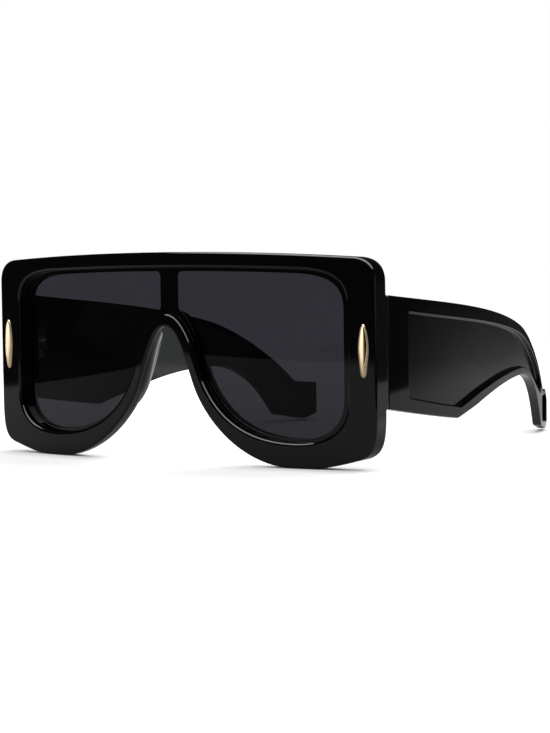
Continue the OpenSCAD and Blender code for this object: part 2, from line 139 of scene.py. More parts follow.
def insideOf(loop, points):
    x, y = points[:, 0][:, None], points[:, 1][:, None]
    a, b = loop, np.roll(loop, -1, 0)
    crosses = (a[:, 1] > y) != (b[:, 1] > y)
    rise = np.where(b[:, 1] == a[:, 1], 1e-12, b[:, 1] - a[:, 1])
    at = a[:, 0] + (y - a[:, 1]) / rise * (b[:, 0] - a[:, 0])
    return (crosses & (x < at)).sum(1) % 2 == 1


def within(loops, points):  # inside the first loop and outside the others
    keep = insideOf(loops[0], points)
    for hole in loops[1:]:
        keep &= ~insideOf(hole, points)
    return keep


class Shell:
    def __init__(self, place):
        self.place = place  # turns flat points and normals into ones in space
        self.flat, self.normal, self.marks, self.faces = [], [], [], []

    def count(self):
        return sum(len(a) for a in self.flat)

    def add(self, flat, depth, normal, side=0, wear=0.0, panel=0.0):
        start = self.count()
        n = len(flat)
        self.flat.append(np.column_stack([flat, np.broadcast_to(depth, n), np.full(n, side)]))
        self.normal.append(normal)
        self.marks.append(np.column_stack([np.full(n, wear), np.full(n, panel)]))
        return np.arange(start, start + n)

    def ring(self, loop, away, inset, depth, across, deep, **marks):
        n = len(loop)
        inset, across = np.broadcast_to(inset, n), np.broadcast_to(across, n)
        normal = np.column_stack([away * across[:, None], np.broadcast_to(deep, n)])
        return self.add(loop - away * inset[:, None], depth, normal, **marks)

    def bridge(self, rings):
        for a, b in zip(rings, rings[1:]):
            for i in range(len(a)):
                j = (i + 1) % len(a)
                self.faces.append((int(a[i]), int(a[j]), int(b[j]), int(b[i])))

    def fill(self, rings, depth, deep, **marks):
        flat = np.concatenate(self.flat)[:, :2]
        loops = [flat[r] for r in rings]
        edges, start = [], 0
        for loop in loops:
            edges += [(start + i, start + (i + 1) % len(loop)) for i in range(len(loop))]
            start += len(loop)
        border = np.concatenate(loops)
        step = overall["spacing"]
        low, high = loops[0].min(0), loops[0].max(0)
        rows = np.arange(low[1] + step / 2, high[1], step * overall["rowShare"])
        grid = np.array([(x + (k % 2) * step / 2, z) for k, z in enumerate(rows)
                         for x in np.arange(low[0] + step / 3, high[0], step)])
        grid = grid[within(loops, grid)]
        gap = np.array([np.min(np.sum((border - g) ** 2, 1)) for g in grid])
        grid = grid[gap > (overall["border"] * step) ** 2]
        new = self.add(grid, depth, np.tile((0.0, 0.0, deep), (len(grid), 1)), **marks)
        names = np.concatenate(list(rings) + [new])
        coords = [Vector(p) for p in np.concatenate([border, grid])]
        verts, _, tris, origin, _, _ = delaunay_2d_cdt(coords, edges, [], 0, 1e-7)
        middle = np.array([np.mean([verts[k][:] for k in t], 0) for t in tris])
        for k, where in enumerate(origin):
            if not where:
                print("outline crosses itself near", verts[k][:])
        for t, kept in zip(tris, within(loops, middle)):
            if kept:
                self.faces.append(tuple(int(names[origin[k][0]]) for k in t))

    def solid(self, mirror=False):
        marks = np.concatenate(self.marks)
        points, normals = self.place(np.concatenate(self.flat), np.concatenate(self.normal), marks)
        turn = (-1 if mirror else 1, 1, 1)
        return points * turn, self.faces, normals * turn, marks

    def build(self, name, mirror=False):
        return meshOf(name, *self.solid(mirror))


def together(solids):
    points, faces, normals, marks = zip(*solids)
    starts = np.cumsum([0] + [len(p) for p in points])
    faces = [tuple(k + int(start) for k in face)
             for start, some in zip(starts, faces) for face in some]
    return np.concatenate(points), faces, np.concatenate(normals), np.concatenate(marks)


def newObject(name, data):
    obj = bpy.data.objects.new(name, data)
    bpy.context.scene.collection.objects.link(obj)
    return obj


def meshOf(name, points, faces, normals=None, marks=None, mirror=False):
    points = np.array(points, float)
    if mirror:
        points = points * (-1, 1, 1)
        normals = None if normals is None else normals * (-1, 1, 1)
    points[:, 1] += overall["shiftY"]
    mesh = bpy.data.meshes.new(name)
    mesh.from_pydata((points * mm).tolist(), [], faces)
    bm = bmesh.new()
    bm.from_mesh(mesh)
    bmesh.ops.recalc_face_normals(bm, faces=bm.faces)
    bm.to_mesh(mesh)
    bm.free()
    mesh.shade_smooth()
    # on the accents the edge mark holds the groove depth, which paints shade into the groove;
    # elsewhere it marks rounded edges for wear
    for index, label in enumerate(("edge", "panel")):
        data = mesh.attributes.new(label, "FLOAT", "POINT")
        if marks is not None:
            data.data.foreach_set("value", np.ascontiguousarray(marks[:, index], np.float32))
    if normals is not None:
        normals = normals / np.linalg.norm(normals, axis=1)[:, None]
        mesh.normals_split_custom_set_from_vertices(normals.tolist())
    return newObject(name, mesh)


def smoothStep(value, low, high):
    t = np.clip((np.asarray(value, float) - low) / (high - low), 0.0, 1.0)
    return t * t * (3 - 2 * t)


def roundEdge(width, height, power=2.0):
    n = overall["rounds"]
    steps = []
    for k in range(n + 1):
        turn = math.pi / 2 * k / n
        s, c = math.sin(turn), math.cos(turn) if k < n else 0.0
        nx, nd = s ** (2 - 2 / power) / width, c ** (2 - 2 / power) / height
        size = np.hypot(nx, nd)
        steps.append((width * (1 - s ** (2 / power)), height * (1 - c ** (2 / power)),
                      nx / size, nd / size, math.sin(2 * turn)))
    return steps  # inset, depth, share of the normal across and deep, wear


def edgeRings(shell, loop, away, depth, size, sink, deep, power=2.0, **marks):
    # sink is the way the edge goes in depth, deep the way its flat side faces
    return [shell.ring(loop, away, inset, depth + sink * down, nx, deep * nd, wear=wear, **marks)
            for inset, down, nx, nd, wear in roundEdge(*size, power)]


def coveRings(shell, loop, away, floor, cove, facets, **marks):
    turns = [math.pi / 2 * k / facets for k in range(facets + 1)]
    return [shell.ring(loop, away, -cove * (1 - math.cos(a)), floor - cove * (1 - math.sin(a)),
                       math.cos(a), -math.sin(a), **marks) for a in turns]


def slab(shell, loop, near, far, nearRound, farRound):
    away = outwardOf(loop)
    nearRings = edgeRings(shell, loop, away, near, (nearRound, nearRound), 1, -1)
    farRings = edgeRings(shell, loop, away, far, (farRound, farRound), -1, 1)
    shell.bridge(nearRings + farRings[::-1])
    shell.fill([nearRings[0]], near, -1.0)
    shell.fill([farRings[0]], far, 1.0)
    return shell


def bentFront(flat, normal, marks):
    r = overall["wrapRadius"]
    x, z, d = flat[:, 0], flat[:, 1], flat[:, 2]
    back = np.sqrt((r - d) ** 2 - x ** 2)
    points = np.column_stack([x, r - back, z])
    deep = normal[:, 2] / (r - d)
    return points, np.column_stack([normal[:, 0] - deep * x, deep * back, normal[:, 1]])


front = {
    "halfWidth": 75.0, "height": 67.0, "depth": 6.5,
    "topDrop": 2.1, "corner": 7.0,
    "lowCornerHeight": 18.0, "lowCornerIn": 6.0, "lowCornerZ": 3.2,
    "restX": 49.6, "restWidth": 5.0,
    "rimTop": 5.0, "rimSide": 9.5, "rimLow": 7.8, "rimNose": 3.4,
    "step": 2.9, "ledge": 1.1, "ledgeSide": 2.5,
    "openDrop": 0.9, "openCornerWidth": 15.0, "openCornerHeight": 11.0,
    "openLowHeight": 13.0, "openLowIn": 2.0,
    "noseHeight": 43.3, "flankHeight": 25.0, "flankX": 10.8, "bridge": 4.2,
    "noseWay": (0.94, 0.59),                 # from the notch's flank to the opening
    "bar": 6.8, "windowCorner": 1.8, "footCorner": 1.5, "footRise": 2.0,
    "lensUnder": 1.45, "backUnder": 2.1,     # how far lens and window reach in under the bar
    "underFade": 3.5, "windowPoints": 260,
    "outerRound": (0.75, 0.75), "openRound": (1.0, 0.9), "backRound": (1.0, 1.0),
    "notchBack": (1.5, 2.6), "bridgeBack": (1.6, 1.6), "bridgePower": 0.6,
    "notchFade": (34, 46), "bridgeFade": (33, 41), "notchTop": 50,
    "flushRound": 0.03, "stepCove": 0.03, "coveFacets": 3,
    "windowRound": 0.03, "windowBackRound": 0.5,
    "blockIn": 64.1, "blockOut": 74.97, "blockBack": 14.22, "blockLow": 18.4, "blockTop": 53.2,
    "blockStart": 8.5, "blockNearRound": 0.2, "blockRound": 0.7, "blockCorner": 0.98,
    "windowSpacing": 1.6, "blockSpacing": 3.0,   # between points of the outline
}

lensSizes = {"near": 3.4, "thick": 2.0, "groove": 1.0, "clear": 0.05, "round": 0.2}


def frontLoop(f):
    topA = (f["halfWidth"] - f["corner"], f["height"] - f["topDrop"])
    topB = (f["halfWidth"], topA[1] - f["corner"])
    lowA = (f["halfWidth"], f["lowCornerHeight"])
    lowB = (f["halfWidth"] - f["lowCornerIn"], f["lowCornerZ"])
    restA = (f["restX"] + f["restWidth"] / 2, 0)
    restB = (f["restX"] - f["restWidth"] / 2, 0)
    flank = (f["flankX"], f["flankHeight"])
    top, apex = (0, f["height"]), (0, f["noseHeight"])
    half = chain(top, stretch(top, topA, [[0.5, 0]]), stretch(topA, topB, [[0.95, 0.1]]), lowA,
                 stretch(lowA, lowB, [[0, 0.68], [0.17, 0.91]]),
                 stretch(lowB, restA, [[0.33, 0.44], [0.67, 1]]), restB,
                 stretch(restB, flank, [[0.49, 0], [0.87, 0.53]]),
                 stretch(flank, apex, [[0.39, 0.6], [0.57, 1]]))
    return loopOf(withMirror(half))


def openPoints(f, ledge, side):
    right = f["halfWidth"] - f["rimSide"] - side
    top = f["height"] - f["rimTop"] - ledge - f["openDrop"]
    low = f["rimLow"] + ledge
    flank = np.array((f["flankX"], f["flankHeight"]))
    return {
        "top": top + f["openDrop"], "a": (right - f["openCornerWidth"], top),
        "b": (right, top - f["openCornerHeight"]), "c": (right, low + f["openLowHeight"]),
        "d": (f["restX"] - f["openLowIn"], low),
        "e": tuple(flank + np.array(f["noseWay"]) * (f["rimNose"] + ledge)),
    }


def openSides(o):
    return chain(stretch(o["a"], o["b"], [[0.57, 0.06], [1, 0.21]]), o["c"],
                 stretch(o["c"], o["d"], [[0, 0.72], [0.43, 1]]),
                 stretch(o["d"], o["e"], [[0.47, 0], [0.82, 0.32]]))


def openingLoop(f):
    o = openPoints(f, 0, 0)
    top, arch = (0, o["top"]), (0, f["noseHeight"] + f["bridge"])
    half = chain(top, stretch(top, o["a"], [[0.5, 0]]), openSides(o),
                 stretch(o["e"], arch, [[0.25, 0.41], [0.46, 1]]))
    return loopOf(withMirror(half))


def windowLoop(f, grow, mirror=False):
    ledge, side, corner = f["ledge"] - grow, f["ledgeSide"] - grow, f["windowCorner"]
    o = openPoints(f, ledge, side)
    bar = f["bar"] / 2 - grow
    foot = (bar + f["footCorner"], f["noseHeight"] + f["bridge"] + ledge - f["footCorner"] / 3)
    rise = (bar, foot[1] + f["footRise"])
    topIn, topOut = (bar, o["top"] - corner), (bar + corner, o["top"])
    points = chain(topIn, stretch(topIn, topOut, [[0, 1]]), stretch(topOut, o["a"], [[0.5, 0]]),
                   openSides(o), stretch(o["e"], foot, [[0.32, 0.38], [0.6, 0.86]]),
                   stretch(foot, rise, [[1, 0.25]]))
    if mirror:
        points = [np.array((-p[0], p[1])) for p in points]
    return loopOf(points, f["windowSpacing"])


def underBar(f, loop, reach):  # takes the bar's side of a window in under the bar
    x = np.abs(loop[:, 0])
    near = 1 - smoothStep(x, f["bar"] / 2, f["bar"] / 2 + f["underFade"])
    return np.column_stack([loop[:, 0] - np.sign(loop[:, 0]) * reach * near, loop[:, 1]])


def backEdge(f, outline):  # fuller in the notch, scooped under the bridge, flush at the end blocks
    x, z = np.abs(outline[:, 0]), outline[:, 1]
    notch = (1 - smoothStep(x, *f["notchFade"])) * (z < f["notchTop"])
    bridge = smoothStep(z, *f["bridgeFade"]) * (z < f["notchTop"])
    low, top = f["blockLow"] + f["blockRound"], f["blockTop"] - f["blockRound"]
    beside = smoothStep(z, low, low + 1) * (1 - smoothStep(z, top - 1, top))
    flush = (x > f["halfWidth"] - 1) * beside
    sizes = []
    for size, a, b in zip(f["backRound"], f["notchBack"], f["bridgeBack"]):
        size = size + a * notch + b * bridge - (size - f["flushRound"]) * flush
        sizes.append(size)
    return sizes, 2 - f["bridgePower"] * bridge


def makeFront(f):
    shell = Shell(bentFront)
    outline = frontLoop(f)
    away = outwardOf(outline)
    faceRings = edgeRings(shell, outline, away, 0, f["outerRound"], 1, -1)
    size, power = backEdge(f, outline)
    backRings = edgeRings(shell, outline, away, f["depth"], size, -1, 1, power)
    shell.bridge(faceRings + backRings[::-1])

    opening = openingLoop(f)
    inward = -outwardOf(opening)  # away from the rim, into the opening
    stepRings = edgeRings(shell, opening, inward, 0, f["openRound"], 1, -1)
    stepRings += coveRings(shell, opening, inward, f["step"], f["stepCove"], f["coveFacets"])
    shell.bridge(stepRings)
    shell.fill([faceRings[0], stepRings[0]], 0, -1.0)

    near = lensSizes["near"] - lensSizes["clear"]
    far = lensSizes["near"] + lensSizes["thick"] + lensSizes["clear"]
    r, backR = f["windowRound"], f["windowBackRound"]
    ledgeEnds, backEnds = [], []
    for mirror in (False, True):
        window = resampled(windowLoop(f, 0, mirror), f["windowPoints"])
        into = -outwardOf(window)
        groove = underBar(f, window - into * lensSizes["groove"], f["lensUnder"])
        behind = underBar(f, window, f["backUnder"])
        intoBehind = -outwardOf(behind)
        rings = edgeRings(shell, window, into, f["step"], (r, r), 1, -1)
        for loop, way, depth in ((window, into, near), (groove, into, near), (groove, into, far),
                                 (behind, intoBehind, far)):
            rings.append(shell.ring(loop, way, 0, depth, 1, 0))
        rings += edgeRings(shell, behind, intoBehind, f["depth"], (backR, backR), -1, 1)[::-1]
        shell.bridge(rings)
        ledgeEnds.append(rings[0])
        backEnds.append(rings[-1])
    shell.fill([stepRings[-1]] + ledgeEnds, f["step"], -1.0)
    shell.fill([backRings[0]] + backEnds, f["depth"], 1.0)
    return shell


def straight(flat, normal, marks):
    return flat[:, [0, 2, 1]], normal[:, [0, 2, 1]]


def makeBlock(f):
    x0, x1, z0, z1 = f["blockIn"], f["blockOut"], f["blockLow"], f["blockTop"]
    corners = [np.array(p, float) for p in ((x0, z0), (x1, z0), (x1, z1), (x0, z1))]
    loop = loopOf(softened(corners, f["blockCorner"]), f["blockSpacing"])
    return slab(Shell(straight), loop, f["blockStart"], f["blockBack"],
                f["blockNearRound"], f["blockRound"])


def makeLens(f, s, mirror):
    window = resampled(windowLoop(f, 0, mirror), f["windowPoints"])
    loop = underBar(f, window + outwardOf(window) * (s["groove"] - s["clear"]), f["lensUnder"])
    return slab(Shell(bentFront), loop, s["near"], s["near"] + s["thick"], s["round"], s["round"])


frontPiece = meshOf("blackFront", *together([makeFront(front).solid(),
                    makeBlock(front).solid(), makeBlock(front).solid(True)]))
lensPieces = {side: makeLens(front, lensSizes, side == "right").build(side + "GreyLens")
              for side in ("left", "right")}
print("front and lenses made")


padSizes = {
    "middle": 29.5, "length": 25.0, "rows": 44, "from": -5.5, "bulgeAt": -3.8, "bulge": 0.25,
    "buried": 0.12, "fall": 0.06, "reach": 2.2, "round": 0.5, "thick": 3.4, "sink": 1.2,
    "reachTaper": 0.6, "roundTaper": 0.5, "steps": 28, "roundSteps": 10,
    "turnRoom": 0.2, "turnBack": -1.0, "innerDrop": 0.4, "innerBack": -1.6, "frontRoom": 0.3,
    "notchX": 22.0, "notchLow": 12.0, "notchTop": 44.0,   # the stretch of outline a pad follows
}


def notchHalfWidth(p, z):
    loop = frontLoop(front)
    x, high = loop.T
    notch = loop[(x > 0) & (x < p["notchX"]) & (high > p["notchLow"]) & (high < p["notchTop"])]
    notch = notch[np.argsort(notch[:, 1])]
    return float(np.interp(z, notch[:, 1], notch[:, 0]))


def padSection(p, full):  # (into the rim, behind the rim) points of one level, once round
    reach = p["from"] + (p["reach"] - p["from"]) * full ** p["reachTaper"]
    side = []
    for k in range(p["steps"] + 1):
        back = p["from"] + (reach - p["from"]) * k / p["steps"]
        rise = smoothStep(np.array(back), p["from"], p["bulgeAt"])
        into = p["buried"] - (p["bulge"] + p["buried"]) * float(rise)
        side.append((into + p["fall"] * max(0.0, back - p["bulgeAt"]) ** 2, back))
    into, back = side[-1]
    r = p["round"] * full ** p["roundTaper"]
    side += [(into + r * (1 - math.cos(a)), back + r * math.sin(a))
             for a in (math.pi * k / p["roundSteps"] for k in range(1, p["roundSteps"]))]
    side += [(into + 2 * r + p["turnRoom"], min(back, p["turnBack"])),  # the rim hides the rest
             (p["thick"], min(back - p["innerDrop"], p["innerBack"])),
             (p["thick"], p["from"] - p["frontRoom"])]
    return [(a + p["sink"] * (1 - full), b) for a, b in side]


def gridFaces(rows, n):  # quads between rings of n points each
    return [(i * n + k, i * n + (k + 1) % n, (i + 1) * n + (k + 1) % n, (i + 1) * n + k)
            for i in range(rows - 1) for k in range(n)]


def makePad(p, name, mirror):
    r = overall["wrapRadius"]
    points, faces = [], []
    n = len(padSection(p, 1.0))
    for i in range(1, p["rows"]):
        t = -math.cos(math.pi * i / p["rows"])
        z = p["middle"] + t * p["length"] / 2
        half = notchHalfWidth(p, z)
        for into, back in padSection(p, math.sqrt(1 - t * t)):
            x, deep = half + into, front["depth"] + back
            points.append((x, r - math.sqrt((r - deep) ** 2 - x * x), z))
    last = (p["rows"] - 2) * n
    for end, first in ((-1, 0), (1, last)):
        ring = np.array(points[first:first + n])
        points.append((*ring[:, :2].mean(axis=0), p["middle"] + end * p["length"] / 2))
        tip = len(points) - 1
        faces += [(tip, first + k, first + (k + 1) % n) for k in range(n)]
    faces += gridFaces(p["rows"] - 1, n)
    return meshOf(name, points, faces, mirror=mirror)


padPieces = {side: makePad(padSizes, side + "NosePad", side == "right")
             for side in ("left", "right")}


accentSizes = {
    "height": 16.4, "width": 3.5, "out": 0.95, "fromMiddle": 71.0, "z": 36.5, "sunk": 0.5,
    "rows": 56, "columns": 36, "endGap": 0.3, "ridge": 0.22, "topPower": 0.56, "footShare": 0.5,
    "footPower": 1.15, "footRound": 14, "crownPower": 3.0, "innerPower": 2.0, "outerPower": 2.4,
    "grooveFrom": 0.34, "grooveTo": 0.74, "grooveDeep": 0.42, "grooveLow": -0.55,
    "grooveHigh": 0.92, "grooveTaper": 0.7, "grooveEase": 1.6, "grooveRound": 0.6,
}


def accentWidth(a, t):  # half width, from the blunt foot at -1 to the round top at 1
    if t > 0:
        return (1 - t * t) ** a["topPower"]
    return (1 - a["footShare"] * (-t) ** a["footPower"]) * (1 - (-t) ** a["footRound"]) ** 0.5


def makeAccent(a, name, mirror):
    r = overall["wrapRadius"]
    lean = math.asin(a["fromMiddle"] / r)
    points, marks = [], []
    n, ridge = a["columns"], a["ridge"]
    middle = (a["grooveHigh"] + a["grooveLow"]) / 2
    for i in range(a["rows"] + 1):
        t = -math.cos(math.pi * (i + a["endGap"]) / (a["rows"] + 2 * a["endGap"]))
        half = a["width"] / 2 * accentWidth(a, t)
        crown = a["out"] * max(0.0, 1 - abs(t) ** a["crownPower"]) ** 0.5
        reach = (t - middle) / (a["grooveHigh"] - middle)
        open_ = max(0.0, 1 - reach * reach) ** a["grooveTaper"]  # tapers to both ends
        low = a["grooveFrom"]
        top = low + (a["grooveTo"] - low) * open_
        for k in range(n + 1):
            s = -math.cos(math.pi * k / n)
            share, power = ((s - ridge) / (1 - ridge), a["outerPower"]) if s > ridge else (
                (s - ridge) / (1 + ridge), a["innerPower"])
            cut = (s - low) / (top - low) if top > low + 0.02 else -1
            dip = 0.0
            if 0 < cut < 1:
                ends = min(1.0, open_ * a["grooveEase"])
                dip = math.sin(math.pi * cut) ** a["grooveRound"] * ends
            high = crown * (1 - abs(share) ** power) - a["grooveDeep"] * dip
            points.append((half * s, high, t * a["height"] / 2))
            # the groove's depth goes into the edge mark, which paints shade into the groove
            marks.append((dip, 0.0))
        points += [(way * half, -a["sunk"], t * a["height"] / 2) for way in (1, -1)]
        marks += [(0.0, 0.0), (0.0, 0.0)]
    m = n + 3
    faces = gridFaces(a["rows"] + 1, m)
    faces += [tuple(range(m)), tuple(range(a["rows"] * m, (a["rows"] + 1) * m))]
    placed = []
    for x, high, z in points:
        reach, turn = r + high, lean + x / r
        placed.append((reach * math.sin(turn), r - reach * math.cos(turn), a["z"] + z))
    return meshOf(name, placed, faces, None, np.array(marks), mirror)


accentPieces = {side: makeAccent(accentSizes, side + "GoldAccent", side == "right")
                for side in ("left", "right")}
print("pads and accents made")


temple = {
    "rootY": 14.6, "length": 147.4, "radius": 312.0, "bulgeOut": 0.9, "bulgeAt": 27.8,
    "thick": 4.4, "tipThick": 3.2,
    "rootTop": 53.2, "rootLow": 18.4, "tipTop": 14.6, "tipLength": 9.6,
    "pointAt": 41.0, "pointHeight": 12.6, "archAt": 99.0, "archHeight": 23.1,
    "turnAt": 95.4, "turnHeight": 41.0, "tipLowLength": 17.6, "tipLowHeight": 2.8,
    "tipRest": 5.6, "tipRestHeight": 0.5, "tipHeel": 2.4, "tipFall": 0.9, "tipOut": 0.3,
    "panelStart": 11.0, "panelEnd": 132.0, "panelEndHeight": 17.2, "panelEndCut": (1.2, 2.5),
    "panelDeep": 1.8, "panelTopShare": 0.91, "panelPointShare": 1.05,
    "borderTop": 4.6, "borderTurn": 3.4, "borderLow": 3.6, "borderArch": 2.7,
    "tipBorder": 1.5,
    "outerRound": (0.42, 0.42), "innerRound": (0.42, 0.42), "panelRound": (0.38, 0.38),
    "panelCove": 0.3, "coveFacets": 4, "outlineEase": 0.5, "panelEase": 0.45,
    "dish": 0.0011, "dishMiddle": 31.0,
    "crown": 0.12, "crownWidth": 4.2,   # the outer side falls a little to the upper edge
    "tipCrown": 0.4, "tipCrownSpan": (85.0, 115.0),   # and more toward the tip
    "tipOutSpan": (40.0, 115.0),
}


def temples(t):
    def along(l, h):
        return np.array((t["rootY"] + l, h), float)

    def between(a, b, share):
        return a + (b - a) * np.array(share)

    turn = along(t["turnAt"], t["turnHeight"])
    tipFront = along(t["length"] - t["tipLength"], t["tipTop"] + t["tipFall"])
    tipLow = along(t["length"] - t["tipLowLength"], t["tipLowHeight"])
    arch = along(t["archAt"], t["archHeight"])
    point = along(t["pointAt"], t["pointHeight"])
    archLow = between(point, arch, (0.25, 0.33))
    rootTop, rootLow = along(0, t["rootTop"]), along(0, t["rootLow"])
    outline = chain(rootTop, stretch(rootTop, turn, [[0.335, 0.27], [0.7, 0.41]]),
                    stretch(turn, tipFront, [[0.3, 0.11], [0.72, 0.5]]),
                    along(t["length"], t["tipTop"]), along(t["length"], t["tipHeel"]),
                    along(t["length"] - t["tipRest"], t["tipRestHeight"]), tipLow,
                    stretch(tipLow, arch, [[0.17, 0.4], [0.42, 1]]),
                    stretch(arch, archLow, [[0.44, 0]]), point,
                    stretch(point, rootLow, [[0.51, 0.43]]))
    start = t["panelStart"]
    topFall = (t["rootTop"] - t["turnHeight"]) * start / t["turnAt"]
    a = along(start, t["rootTop"] - topFall - t["borderTop"] * t["panelTopShare"])
    b = turn - (0, t["borderTurn"])
    c = along(t["panelEnd"], t["panelEndHeight"])
    c2 = c - t["panelEndCut"]
    d = arch + (0, t["borderArch"])
    e = archLow + (0, t["borderLow"])
    f = along(t["pointAt"] * t["panelPointShare"], t["pointHeight"] + t["borderLow"])
    lowFall = (t["rootLow"] - t["pointHeight"]) * start / t["pointAt"] / 2
    g = along(start, t["rootLow"] - lowFall + t["borderLow"])
    panel = chain(a, stretch(a, b, [[0.335, 0.33], [0.7, 0.45]]),
                  stretch(b, c, [[0.286, 0.12], [0.66, 0.45]]), c2,
                  stretch(c2, d, [[0.32, 0.04], [0.57, 1]]),
                  stretch(d, e, [[0.44, 0]]), f, stretch(f, g, [[0.51, 0.43]]))
    rim = t["tipBorder"]
    tip = along(t["length"] - t["tipLowLength"] + 2 * rim, t["tipTop"] - rim)
    end = along(t["length"] - rim, 2 * rim)
    block = [tip, (end[0], tip[1]), end, (tip[0], t["tipLowHeight"] + rim)]
    return (easedLoop(outline, t["outlineEase"]),
            [easedLoop(panel, t["panelEase"]), easedLoop(block, t["panelEase"])])


def edgeLine(t):  # a temple's upper edge, for the crown
    loop = temples(t)[0]
    return loop[outwardOf(loop)[:, 1] > 0.1]


def edgeGap(points, line):
    return np.array([np.min(np.hypot(line[:, 0] - p[0], line[:, 1] - p[1])) for p in points])


def templeBend(t):
    bendX = front["halfWidth"] + t["bulgeOut"] - t["radius"]
    bendY = t["rootY"] + t["bulgeAt"]
    rootSin = t["bulgeAt"] / t["radius"]
    tipSin = (t["length"] - t["bulgeAt"]) / t["radius"]
    shift = (t["thick"] - t["tipThick"]) / (rootSin + tipSin)
    innerR = t["radius"] - t["thick"] + shift * rootSin
    return bendX, bendY, shift, innerR


def bentTemple(flat, normal, marks):
    t = temple
    bendX, bendY, shift, innerR = templeBend(t)
    y, z, d, side = flat.T
    d = d.copy()
    tiltZ = np.zeros(len(y))
    high = z - t["dishMiddle"]
    dished = (marks[:, 1] > 0.5) & (high > 0)
    d[dished] -= t["dish"] * high[dished] ** 2
    tiltZ[dished] = -2 * t["dish"] * high[dished]
    outer = side < 0.5
    here = outer & (marks[:, 1] < 0.5)
    share = np.clip(1 - edgeGap(flat[here, :2], edgeLine(t)) / t["crownWidth"], 0, 1)
    rise = t["crown"] + t["tipCrown"] * smoothStep(y[here] - t["rootY"], *t["tipCrownSpan"])
    d[here] += rise * share ** 2
    tiltZ[here] += 2 * rise / t["crownWidth"] * share
    r = np.where(outer, t["radius"] - d, innerR + d)
    cy = np.where(outer, bendY, bendY + shift)
    reach = np.sqrt(r ** 2 - (y - cy) ** 2)
    out = t["tipOut"] * smoothStep(y - t["rootY"], *t["tipOutSpan"])
    points = np.column_stack([bendX + reach + out, y, z])
    radial = np.column_stack([reach, y - cy]) / r[:, None]
    push = -normal[:, 2]  # deep is -1 on the outer face and +1 on the inner one
    normals = np.column_stack([push * radial[:, 0], push * radial[:, 1] + normal[:, 0],
                               normal[:, 1] + tiltZ * push])
    return points, normals


def makeTemple(t):
    shell = Shell(bentTemple)
    outline, panels = temples(t)
    away = outwardOf(outline)
    outer = edgeRings(shell, outline, away, 0, t["outerRound"], 1, -1, side=0)
    inner = edgeRings(shell, outline, away, 0, t["innerRound"], 1, 1, side=1)
    shell.bridge(outer + inner[::-1])
    shell.fill([inner[0]], 0, 1.0, side=1)
    edges = []
    for panel in panels:
        into = -outwardOf(panel)
        rings = edgeRings(shell, panel, into, 0, t["panelRound"], 1, -1)
        rings += coveRings(shell, panel, into, t["panelDeep"], t["panelCove"], t["coveFacets"],
                           panel=1.0)
        shell.bridge(rings)
        shell.fill([rings[-1]], t["panelDeep"], -1.0, panel=1.0)
        edges.append(rings[0])
    shell.fill([outer[0]] + edges, 0, -1.0)
    return shell


templePieces = {side: makeTemple(temple).build(side + "Temple", side == "right")
                for side in ("left", "right")}
print("temples made")


def fromNode(node, name, bevel=0.0, shift=(0, 0, 0)):
    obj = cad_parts[node].copy()
    obj.data = obj.data.copy()
    obj.name = name
    obj.data.name = name
    obj.parent = None
    for key in list(obj.keys()):
        del obj[key]
    bpy.context.scene.collection.objects.link(obj)
    bm = bmesh.new()
    bm.from_mesh(obj.data)
    bmesh.ops.translate(bm, verts=bm.verts, vec=Vector(shift) * mm)
    bmesh.ops.remove_doubles(bm, verts=bm.verts, dist=overall["weld"])
    bmesh.ops.dissolve_limit(bm, angle_limit=math.radians(overall["flatWithin"]),
                             verts=bm.verts, edges=bm.edges)
    bm.to_mesh(obj.data)
    bm.free()
    obj.data.shade_smooth()
    if bevel:
        mod = obj.modifiers.new("edges", "BEVEL")
        mod.width, mod.segments, mod.limit_method = bevel * mm, 2, "ANGLE"
        mod.angle_limit = math.radians(overall["bevelFrom"])
        mod.harden_normals = True
    return obj


def newMaterial(name):
    mat = bpy.data.materials.new(name)
    mat.use_nodes = True
    return mat, mat.node_tree, mat.node_tree.nodes["Principled BSDF"]


def groupOf(name, inputs, *outputs):  # each group also takes the place on the piece
    tree = bpy.data.node_groups.new(name, "ShaderNodeTree")
    tree.interface.new_socket("Vector", in_out="INPUT", socket_type="NodeSocketVector")
    for label, value in inputs.items():
        socket = tree.interface.new_socket(label, in_out="INPUT", socket_type="NodeSocketFloat")
        socket.default_value = value
    for label in outputs:
        tree.interface.new_socket(label, in_out="OUTPUT", socket_type="NodeSocketFloat")
    return tree, tree.nodes.new("NodeGroupInput").outputs, tree.nodes.new("NodeGroupOutput")


def plug(tree, made, inputs):
    for key, value in inputs.items():
        if isinstance(value, bpy.types.NodeSocket):
            tree.links.new(value, made.inputs[key])
        else:
            made.inputs[key].default_value = value


def node(tree, kind, inputs=None, **settings):
    made = tree.nodes.new(kind)
    for key, value in settings.items():
        setattr(made, key, value)
    plug(tree, made, inputs or {})
    return made


def nodeOf(tree, kind, inputs=None, **settings):
    return node(tree, "ShaderNode" + kind, inputs, **settings)


def math2(tree, operation, a, b=0.0, clamp=False):
    return nodeOf(tree, "Math", {0: a, 1: b}, operation=operation, use_clamp=clamp).outputs[0]


def mapRange(tree, value, low, high, toLow=0.0, toHigh=1.0):
    return nodeOf(tree, "MapRange", {"Value": value, "From Min": low, "From Max": high,
                  "To Min": toLow, "To Max": toHigh}, clamp=True).outputs["Result"]


def mixColour(tree, fac, a, b):
    return nodeOf(tree, "Mix", {0: fac, 6: a, 7: b}, data_type="RGBA").outputs[2]


def product(tree, first, *others):
    for other in others:
        first = math2(tree, "MULTIPLY", first, other)
    return first


def total(tree, first, *others):
    for other in others:
        first = math2(tree, "ADD", first, other)
    return first


def noiseOf(tree, vector, scale, detail, rough=0.5):
    return nodeOf(tree, "TexNoise", {"Vector": vector, "Scale": scale, "Detail": detail,
                  "Roughness": rough}).outputs["Fac"]


def attributeOf(tree, name):
    return nodeOf(tree, "Attribute", attribute_name=name).outputs["Fac"]


def objectPlace(tree):
    return nodeOf(tree, "TexCoord").outputs["Object"]


